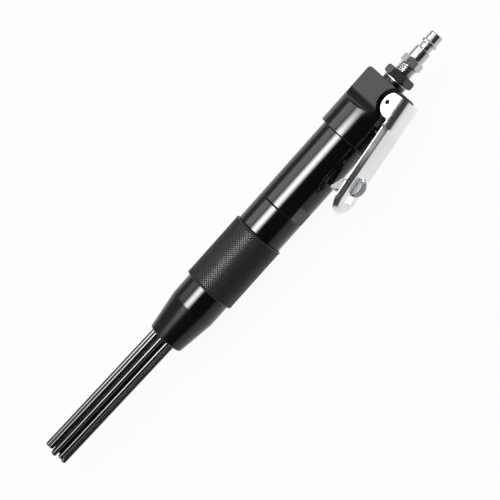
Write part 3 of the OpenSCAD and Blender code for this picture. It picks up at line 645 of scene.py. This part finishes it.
barrel = {
    "spigotStart": 88.9, "start": 94.9, "end": 160.3, "threadEnd": 171.0, "radius": 18.0, "edge": 0.75,
    "spigotRadius": 16.0, "threadRadius": 15.0, "corner": 0.3, "counterRadius": 14.05, "counterEnd": 107.8,
    "boreRadius": 12.06, "rearGroove": 91.9, "frontGroove": 162.7, "grooveDepth": 1.25, "grooveHalf": 0.8,
    "flatLength": 11.0, "flatDepth": 1.5, "flatInside": 13.5, "flatEdge": 0.2,
}


def makeBarrel(p):
    half, end = p["grooveHalf"], p["end"]
    rearStart, rearEnd = p["rearGroove"] - half, p["rearGroove"] + half
    frontStart, frontEnd = p["frontGroove"] - half, p["frontGroove"] + half
    rearRoot, frontRoot = p["spigotRadius"] - p["grooveDepth"], p["threadRadius"] - p["grooveDepth"]
    piece = turnPiece("barrel_dressed", easeCorners(sized(
        p, ("spigotStart", "counterRadius", 0), ("spigotStart", "spigotRadius", "corner"),
        (rearStart, "spigotRadius", 0), (rearStart, rearRoot, 0),
        (rearEnd, rearRoot, 0), (rearEnd, "spigotRadius", 0), ("start", "spigotRadius", 0),
        ("start", "radius", "edge"), ("end", "radius", "edge"), ("end", "threadRadius", 0),
        (frontStart, "threadRadius", 0), (frontStart, frontRoot, 0),
        (frontEnd, frontRoot, 0), (frontEnd, "threadRadius", 0),
        ("threadEnd", "threadRadius", "corner"), ("threadEnd", "boreRadius", 0),
        ("counterEnd", "boreRadius", 0), ("counterEnd", "counterRadius", 0))), steps=192)
    start = end - p["flatLength"]
    for side in (-1, 1):  # wrench flats
        near, far = side * (p["radius"] - p["flatDepth"]), side * (p["radius"] + past)
        flat = block("flatBlock", start, end + past, near, far)
        ring = turnPiece("flatRing", [
            (start - past, p["flatInside"]), (start - past, reach), (end, reach), (end, p["flatInside"])])
        cutWith(flat, ring, "INTERSECT")
        cutWith(piece, flat)
    softenEdges(piece, p["flatEdge"], segments=2, angle=40)
    shadeSoft(piece, angle=30)
    return piece


finishPiece(makeBarrel(barrel), "barrel", "root")

adaptor = {
    "start": 160.3, "end": 183.2, "threadEnd": 212.2, "radius": 18.0, "edge": 0.75, "threadRadius": 16.5,
    "corner": 0.3,
    "socketRadius": 15.05, "socketEnd": 171.3, "cavityRadius": 9.0, "cavityEnd": 175.75, "anvilRadius": 7.56,
    "pocketRadius": 13.3, "pocketStart": 200.6,
}


def makeAdaptor(p):
    piece = turnPiece("front_adaptor_dressed", easeCorners(sized(
        p, ("start", "socketRadius", 0), ("start", "radius", "edge"), ("end", "radius", "edge"),
        ("end", "threadRadius", 0), ("threadEnd", "threadRadius", "corner"), ("threadEnd", "pocketRadius", 0),
        ("pocketStart", "pocketRadius", 0), ("pocketStart", "anvilRadius", 0),
        ("cavityEnd", "anvilRadius", 0), ("cavityEnd", "cavityRadius", 0),
        ("socketEnd", "cavityRadius", 0), ("socketEnd", "socketRadius", 0))), steps=192)
    shadeSoft(piece, angle=40)
    return piece


finishPiece(makeAdaptor(adaptor), "front_adaptor", "root")

nose = {
    "start": 212.2, "flangeEnd": 216.2, "flangeRadius": 18.5, "corner": 0.3, "landEnd": 235.9,
    "landRadius": 17.7, "landEdge": 0.1, "radius": 17.5, "taperStart": 252.7, "taperBlend": 9.0,
    "mouthRadius": 13.4, "end": 281.5, "lip": 1.5, "mouthEdge": 0.4, "mouthBore": 11.4,
    "boreRadius": 14.8, "seat": 259.7, "throatRadius": 11.8, "throatEnd": 279.9,
}


def makeNose(p):
    piece = turnPiece("nose_sleeve_dressed", easeCorners(sized(
        p, ("start", "boreRadius", 0), ("start", "flangeRadius", "corner"),
        ("flangeEnd", "flangeRadius", "corner"), ("flangeEnd", "landRadius", 0),
        ("landEnd", "landRadius", "landEdge"), ("landEnd", "radius", 0),
        ("taperStart", "radius", "taperBlend"), ("end", "mouthRadius", "lip"),
        ("end", "mouthBore", "mouthEdge"), ("throatEnd", "mouthBore", 0),
        ("seat", "throatRadius", 0), ("seat", "boreRadius", 0)), steps=6), steps=192)
    shadeSoft(piece, angle=30)
    return piece


finishPiece(makeNose(nose), "nose_sleeve", "root")


# Collar with its diamond knurl, pressed into the vertices of a fine net

collar = {
    "start": 183.2, "end": 235.5, "radius": 19.65, "edge": 1.0, "corner": 0.3, "threadRadius": 16.55,
    "threadEnd": 212.2, "flangeRadius": 18.55, "flangeEnd": 216.2, "landRadius": 17.75,
    "knurlStart": 184.6, "knurlEnd": 234.1, "rows": 52, "columns": 130, "depth": 0.36, "flatTop": 0.57,
    "shade": 12.0,
}


def makeCollar(p):
    outline = easeCorners(sized(
        p, ("end", "radius", "edge"), ("end", "landRadius", "corner"), ("flangeEnd", "landRadius", 0),
        ("flangeEnd", "flangeRadius", 0), ("threadEnd", "flangeRadius", 0), ("threadEnd", "threadRadius", 0),
        ("start", "threadRadius", "corner"), ("start", "radius", "edge")))
    first, last = p["knurlStart"], p["knurlEnd"]
    rowStep = (last - first) / p["rows"]
    outline += [(first + row * rowStep, p["radius"]) for row in range(p["rows"] + 1)]
    piece = turnPiece("knurled_collar_dressed", outline, steps=p["columns"])

    def knurlPlace(co):  # row and column of a vertex on the knurl
        row = (co.x - first) / rowStep
        column = math.atan2(co.z, co.y) / (2 * math.pi) * p["columns"]
        return round(row), round(column)

    def onKnurl(co):
        return first - slack < co.x < last + slack and math.hypot(co.y, co.z) > p["flangeRadius"]

    def valley(co):
        return onKnurl(co) and sum(knurlPlace(co)) % 2 == 1

    def peak(co):
        return first + slack < co.x < last - slack and onKnurl(co) and sum(knurlPlace(co)) % 2 == 0

    pickVertices(piece, valley)
    sink = 1 - p["depth"] / p["radius"]
    bpy.ops.transform.resize(value=(1, sink, sink), center_override=(0, 0, 0))
    pickVertices(piece, onKnurl)
    bpy.ops.mesh.quads_convert_to_tris(quad_method="SHORTEST_DIAGONAL")
    pickVertices(piece, peak)
    bpy.ops.mesh.bevel(offset=p["flatTop"] * mm, affect="VERTICES", segments=1)
    pickOnly(piece)
    bpy.ops.object.shade_smooth_by_angle(angle=math.radians(p["shade"]))
    return piece


finishPiece(makeCollar(collar), "knurled_collar", "root")


# Needles, turned once and copied into the leaned pack

needlePack = {
    "count": 12, "outerCount": 9, "outerRing": 7.85, "innerRing": 3.0, "phase": -59.0, "headsStart": 212.2,
    "play": 3.0, "stagger": 5, "length": 180.0, "headRadius": 2.45, "headLength": 3.0, "radius": 2.0,
    "tipRadius": 1.35, "tipLength": 0.7, "edge": 0.3, "smallEdge": 0.2,
    "lean": 1.3, "leanTowards": 145.0, "pivot": 223.5,
    "roll": 0.9,  # the grain differs from needle to needle
}


def makeNeedle(p):
    taper = p["length"] - p["tipLength"]
    piece = turnPiece("needleBlank", easeCorners(sized(
        p, (0, 0, 0), (0, "headRadius", "edge"), ("headLength", "headRadius", "smallEdge"),
        ("headLength", "radius", 0), (taper, "radius", "edge"), ("length", "tipRadius", "smallEdge"),
        ("length", 0, 0)), closed=False, steps=3), closed=False, steps=40)
    shadeSoft(piece, angle=40)
    return piece


def placeNeedle(blank, number, p):
    piece = bpy.data.objects.new("needle_%02d_dressed" % number, blank.data.copy())
    bpy.context.scene.collection.objects.link(piece)
    outer, inner = p["outerCount"], p["count"] - p["outerCount"]
    if number <= outer:
        ring, turn = p["outerRing"], p["phase"] + 360 * (number - 1) / outer
    else:
        ring, turn = p["innerRing"], p["phase"] + 180 / outer + 360 * (number - outer - 1) / inner
    turn = math.radians(turn)
    drop = p["play"] * ((number * p["stagger"]) % p["count"]) / p["count"]
    towards = math.radians(p["leanTowards"])
    leanAxis = Vector((1, 0, 0)).cross(Vector((0, math.cos(towards), math.sin(towards))))
    pivot = Matrix.Translation((p["pivot"] * mm, 0, 0))
    place = Vector((p["headsStart"] + drop, ring * math.cos(turn), ring * math.sin(turn))) * mm
    lean = pivot @ Matrix.Rotation(math.radians(p["lean"]), 4, leanAxis) @ pivot.inverted()
    piece.data.transform(lean @ Matrix.Translation(place) @ Matrix.Rotation(number * p["roll"], 4, "X"))
    return piece


blank = makeNeedle(needlePack)
for number in range(1, needlePack["count"] + 1):
    nodeName = "needle_%02d" % number
    finishPiece(placeNeedle(blank, number, needlePack), nodeName, nodeName)
bpy.data.objects.remove(blank)


# Throttle lever, pressed from sheet, drawn along its own length u with its back at height v

def leverSection(u, width, top, radius, foot, lip, flare=0, half=False):  # from flange to flange
    bend = circlePoints((top - radius, width / 2 - radius), radius, 90 - flare, 0, steps=12)
    v, side = bend[0]
    lipSide = side + (v - lip) * math.tan(math.radians(flare))
    near = [(u, foot, lipSide), (u, lip, lipSide)] + [(u, v, side) for v, side in bend]
    middle = [(u, top, 0)]
    return near + middle if half else near + middle + [(a, b, -c) for a, b, c in reversed(near)]


def leverSheet(p):
    start = p["back"] - past  # the side outline trims it
    step, tipCentre, lip = p["handleStart"], p["tipCentre"], p["flange"] + p["lip"]
    archSection = (p["archWidth"], p["archTop"], p["archRadius"], p["foot"], p["archLip"])
    section = (p["handleWidth"], p["handleTop"], p["handleRadius"], p["foot"], lip, p["flare"])
    arch = drawLine("leverArch", leverSection(start, *archSection))
    editAll()
    drawOut(((p["archEnd"] - start) * mm, 0, 0))
    handle = drawLine("leverHandle", leverSection(step, *section))
    editAll()
    drawOut(((tipCentre - step) * mm, 0, 0))
    tip = drawLine("leverTip", leverSection(tipCentre, *section, half=True))
    editAll()
    bpy.ops.mesh.spin(steps=p["tipSteps"], angle=math.pi, center=(tipCentre * mm, 0, 0), axis=(0, -1, 0))
    sheet = joinInto(arch, [handle, tip])
    sheet.name = "throttle_lever_dressed"

    def stepEdge(co):
        return abs(co.x - p["archEnd"]) < slack or abs(co.x - step) < slack

    pickVertices(sheet, stepEdge)
    bpy.ops.mesh.bridge_edge_loops(number_cuts=p["stepCuts"], interpolation="SURFACE",
                                   smoothness=p["stepSmooth"])
    tidyMesh(sheet)
    return sheet


def leverOutline(p):  # the lever seen from its side
    u, v = p["earCentre"]
    radius = p["earRadius"]
    backAngle = -math.degrees(math.acos((p["back"] - u) / radius))
    frontAngle = math.degrees(math.asin((p["flange"] - v) / radius))
    ear = circlePoints(p["earCentre"], radius, backAngle, frontAngle, p["earSteps"])
    high, end = p["archTop"] + past, p["end"] + past
    return [(p["back"], high)] + ear + [(p["flangeRise"], p["flange"]), (end, p["endFlange"]), (end, high)]


def makeLever(p):
    piece = leverSheet(p)
    thicken(piece, p["sheet"])
    cutWith(piece, prism("leverSide", leverOutline(p)), "INTERSECT")
    start, end, half, corner = p["windowStart"], p["windowEnd"], p["windowWidth"] / 2, p["windowCorner"]
    outline = [(start, -half, corner), (end, -half, corner), (end, half, corner), (start, half, corner)]
    window = prism("leverWindow", easeCorners(outline), *p["windowDepth"])
    window.data.transform(Matrix.Rotation(-math.pi / 2, 4, "X"))
    cutWith(piece, window)
    cutWith(piece, prism("pinHole", circlePoints((0, 0), p["pinRadius"])))
    cutWith(piece, prism("latchHole", circlePoints(p["latchPin"], p["latchPinRadius"])))
    softenEdges(piece, p["edge"], segments=3, angle=40)
    shadeSoft(piece, angle=32)
    piece.data.transform(leverPlace(p))
    return piece


finishPiece(makeLever(throttleLever), "throttle_lever", "lever")


# Lever pin, a slotted spring pin, and the latch pin

pins = {
    "leverLength": 23.2, "leverRadius": 1.5, "leverBore": 0.85, "slot": 0.6,
    "latchLength": 21.2, "latchRadius": 1.25, "ease": 0.3,
}


def makeLeverPin(p):
    half, radius, bore, slot = p["leverLength"] / 2, p["leverRadius"], p["leverBore"], p["slot"] / 2
    piece = turnPiece("lever_pin_dressed", easeCorners([
        (-half, bore, 0), (-half, radius, p["ease"]), (half, radius, p["ease"]), (half, bore, 0)]), steps=48)
    cutWith(piece, block("pinSlot", -half - past, half + past, 0, 2 * radius, -slot, slot))
    shadeSoft(piece, angle=35)
    x, y = throttleLever["pivot"]
    piece.data.transform(Matrix.Translation((x * mm, y * mm, 0)) @ Matrix.Rotation(-math.pi / 2, 4, "Y"))
    return piece


def makeLatchPin(p):
    half, radius = p["latchLength"] / 2, p["latchRadius"]
    outline = [(-half, 0, 0), (-half, radius, p["ease"]), (half, radius, p["ease"]), (half, 0, 0)]
    piece = turnPiece("latch_pin_dressed", easeCorners(outline, False), closed=False, steps=48)
    shadeSoft(piece, angle=35)
    u, v = throttleLever["latchPin"]
    place = leverPlace(throttleLever) @ Matrix.Translation((u * mm, v * mm, 0))
    piece.data.transform(place @ Matrix.Rotation(-math.pi / 2, 4, "Y"))
    return piece


finishPiece(makeLeverPin(pins), "lever_pin", "root")
finishPiece(makeLatchPin(pins), "latch_pin", "lever")


# Safety latch, folded sheet, from its own solid with the sheet's edges rounded

safetyLatch = {"edge": 0.28, "edgeSegments": 3}


def makeLatch(p):
    piece = copySolid("safety_latch")
    softenEdges(piece, p["edge"], p["edgeSegments"], angle=30)
    shadeSoft(piece, angle=32)
    return piece


finishPiece(makeLatch(safetyLatch), "safety_latch", "latch")


# Springs, from their own solids

springs = {
    "return_spring": {
        "joint": "needle_pack_slide", "axis": (1, 0, 0), "fixedEnd": (259.7, 0, 0), "travel": 6.0,
    },
    "throttle_spring": {
        "joint": "throttle_press", "axis": (0, 1, 0), "fixedEnd": (0, -12.7, 0), "travel": 2.9,
    },
}


def makeSpring(node):
    piece = copySolid(node)
    shadeSoft(piece, angle=60)
    finishPiece(piece, node, "root")
    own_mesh(piece)


for node, shape in springs.items():
    makeSpring(node)


# Camera, at the photograph's angle, in metres

camera = {
    "aim": (0.1957, 0.0022, -0.00156), "distance": 1.384, "lens": 144.0, "sensor": 36.0,
    "leverTurn": 35.0,   # how far the lever is turned from the picture's plane towards the camera
    "tilt": 6.0,         # how far the plug end comes towards the camera
    "roll": 48.2,        # slope of the tool in the picture
}


def makeCamera(p):
    turn, tilt, roll = (math.radians(p[key]) for key in ("leverTurn", "tilt", "roll"))
    facing = Vector((0, math.sin(turn), math.cos(turn)))
    across = Vector((0, math.cos(turn), -math.sin(turn)))
    along = Vector((-math.cos(tilt), 0, 0)) - math.sin(tilt) * facing
    right = math.cos(roll) * along + math.sin(roll) * across
    up = math.sin(roll) * along - math.cos(roll) * across
    back = right.cross(up)
    bpy.ops.object.camera_add(location=Vector(p["aim"]) + back * p["distance"],
                              rotation=Matrix((right, up, back)).transposed().to_euler())
    item = bpy.context.object
    item.name = "photoCamera"
    item.data.lens = p["lens"]
    item.data.sensor_width = p["sensor"]
    bpy.context.scene.camera = item
    print("camera at", tuple(round(value, 3) for value in item.location))


makeCamera(camera)


# Floor and light, in metres

studio = {
    "floorSize": 12.0, "floorPaint": 0.9, "floorShadow": 0.06, "fill": 0.75, "middle": 0.2,
    "stripHeight": 1.3, "stripSide": 0.15, "stripWidth": 1.03, "stripFrom": 0.090, "stripTo": 0.93,
    "stripLevel": 31.0, "stripFade": (0.027, 0.798, 0.50),   # at its two ends and its sides, as shares
    "panelAngle": 123.0, "panelDistance": 1.7, "panelWidth": 1.6, "panelFrom": -0.20, "panelTo": 0.66,
    "panelLevel": 2.8, "panelFade": (0.12, 0.42, 0.31),
    "cardRadius": 2.6, "cardLength": 8.0, "cardSteps": 24,   # bent cards that the gloss mirrors
    "cardStart": -0.5, "cardSplit": 82.0, "dark": 0.040,     # a dark one over the camera
    "cardEnd": 173.0, "grey": 0.36,                          # and a grey one behind the tool
    "lowFrom": 0.03, "lowTo": 0.50, "lowCurve": 0.6, "lowHeight": 0.004,  # a dark one over the floor
}


def seenRays(tree):  # 1 for what the camera, a reflection or a glass shows
    path = tree.nodes.new("ShaderNodeLightPath")
    seen = path.outputs["Is Camera Ray"]
    for kind in ("Is Glossy Ray", "Is Transmission Ray"):
        either = tree.nodes.new("ShaderNodeMath")
        either.operation = "MAXIMUM"
        tree.links.new(seen, either.inputs[0])
        tree.links.new(path.outputs[kind], either.inputs[1])
        seen = either.outputs[0]
    return seen


def bareMaterial(name):  # only an output, for the floor and the cards
    material = bpy.data.materials.new(name)
    material.use_nodes = True
    material.node_tree.nodes.clear()
    return material, material.node_tree, material.node_tree.nodes.new("ShaderNodeOutputMaterial")


def makeFloor(p):
    deselectAll()
    bpy.ops.mesh.primitive_plane_add(size=p["floorSize"], location=(0, 0, cadBox[0][2]))
    floor = bpy.context.object
    floor.name = "floor"
    material, tree, output = bareMaterial("paleFloor")
    paint = tree.nodes.new("ShaderNodeBsdfDiffuse")
    paint.inputs["Color"].default_value = (p["floorPaint"], p["floorPaint"], p["floorPaint"], 1)
    white = tree.nodes.new("ShaderNodeEmission")
    keep = tree.nodes.new("ShaderNodeMath")
    keep.operation = "MULTIPLY"
    keep.inputs[1].default_value = 1 - p["floorShadow"]
    mix = tree.nodes.new("ShaderNodeMixShader")
    tree.links.new(seenRays(tree), keep.inputs[0])
    tree.links.new(keep.outputs[0], mix.inputs[0])
    tree.links.new(paint.outputs[0], mix.inputs[1])
    tree.links.new(white.outputs[0], mix.inputs[2])
    tree.links.new(mix.outputs[0], output.inputs["Surface"])
    floor.data.materials.append(material)
    print("floor at", round(cadBox[0][2], 4))


def makeArea(name, place, aim, width, length, level):
    back = (Vector(place) - Vector(aim)).normalized()
    side = Vector((1, 0, 0))
    turn = Matrix((side, back.cross(side), back)).transposed()
    bpy.ops.object.light_add(type="AREA", location=place, rotation=turn.to_euler())
    lamp = bpy.context.object
    lamp.name = name
    lamp.data.shape = "RECTANGLE"
    lamp.data.size = length
    lamp.data.size_y = width
    lamp.data.energy = level * math.pi * width * length
    lamp.visible_camera = False
    return lamp


def fadeLamp(lamp, start, end, sides):  # lets the lamp's level fall off towards its ends and its long sides
    lamp.data.use_nodes = True
    tree = lamp.data.node_tree
    place = tree.nodes.new("ShaderNodeNewGeometry")
    split = tree.nodes.new("ShaderNodeSeparateXYZ")
    tree.links.new(place.outputs["Parametric"], split.inputs[0])
    level = None
    for axis, edge, full in (("X", 0, start), ("X", 1, 1 - end), ("Y", 0, sides), ("Y", 1, 1 - sides)):
        ramp = tree.nodes.new("ShaderNodeMapRange")
        ramp.interpolation_type = "SMOOTHSTEP"
        ramp.inputs["From Min"].default_value = edge
        ramp.inputs["From Max"].default_value = full
        tree.links.new(split.outputs[axis], ramp.inputs["Value"])
        if level is None:
            level = ramp.outputs["Result"]
            continue
        product = tree.nodes.new("ShaderNodeMath")
        product.operation = "MULTIPLY"
        tree.links.new(level, product.inputs[0])
        tree.links.new(ramp.outputs["Result"], product.inputs[1])
        level = product.outputs[0]
    tree.links.new(level, tree.nodes["Emission"].inputs["Strength"])


def makeLights(p):
    start, end = p["stripFrom"], p["stripTo"]
    place = Vector(((start + end) / 2, p["stripSide"], p["stripHeight"]))
    strip = makeArea("stripAbove", place, (place.x, 0, 0), p["stripWidth"], end - start, p["stripLevel"])
    strip.visible_diffuse = False
    fadeLamp(strip, *p["stripFade"])
    angle, distance = math.radians(p["panelAngle"]), p["panelDistance"]
    start, end = p["panelFrom"], p["panelTo"]
    place = Vector(((start + end) / 2, distance * math.cos(angle), distance * math.sin(angle)))
    panel = makeArea("sidePanel", place, (place.x, 0, 0), p["panelWidth"], end - start, p["panelLevel"])
    fadeLamp(panel, *p["panelFade"])
    world = bpy.data.worlds.new("studio")
    bpy.context.scene.world = world
    world.use_nodes = True
    tree = world.node_tree
    background = tree.nodes["Background"]
    level = tree.nodes.new("ShaderNodeMapRange")
    level.inputs["To Min"].default_value = p["fill"]
    level.inputs["To Max"].default_value = 1.0
    tree.links.new(seenRays(tree), level.inputs["Value"])
    tree.links.new(level.outputs["Result"], background.inputs["Strength"])
    background.inputs["Color"].default_value = (1, 1, 1, 1)
    print("lights", strip.name, panel.name)


def makeCard(name, outline, level, p, fades=False):  # drawn across the tool, then drawn out along it
    x = (p["middle"] - p["cardLength"] / 2) / mm
    card = drawLine(name, [(x, y, z) for y, z in outline])
    editAll()
    drawOut((p["cardLength"], 0, 0))
    bpy.ops.object.mode_set(mode="OBJECT")
    material, tree, output = bareMaterial(name)
    paint = tree.nodes.new("ShaderNodeEmission")
    paint.inputs["Strength"].default_value = level
    surface = paint.outputs[0]
    if fades:  # clear beside the tool
        cover = addNode(material, "ShaderNodeMath")
        cover.operation = "POWER"
        cover.inputs[1].default_value = p["lowCurve"]
        rise = spread(material, placeOn(material, "Y"), 0, 1, p["lowFrom"], p["lowTo"])
        link(material, rise, cover.inputs[0])
        clear = tree.nodes.new("ShaderNodeBsdfTransparent")
        mix = tree.nodes.new("ShaderNodeMixShader")
        link(material, cover.outputs[0], mix.inputs[0])
        link(material, clear.outputs[0], mix.inputs[1])
        link(material, surface, mix.inputs[2])
        surface = mix.outputs[0]
    link(material, surface, output.inputs["Surface"])
    card.data.materials.append(material)
    card.visible_camera = False
    card.visible_diffuse = False
    card.visible_shadow = False
    print(name, "in place")


def makeCards(p):
    radius, split, steps = p["cardRadius"] / mm, p["cardSplit"], p["cardSteps"]
    low = (cadBox[0][2] + p["lowHeight"]) / mm
    makeCard("darkCard", circlePoints((0, 0), radius, p["cardStart"], split, steps), p["dark"], p)
    makeCard("greyCard", circlePoints((0, 0), radius, split, p["cardEnd"], steps), p["grey"], p)
    makeCard("lowCard", [(p["lowFrom"] / mm, low), (p["lowTo"] / mm, low), (radius, low)], p["dark"], p, True)


makeFloor(studio)
makeLights(studio)
makeCards(studio)
bpy.context.scene.view_settings.view_transform = "Standard"
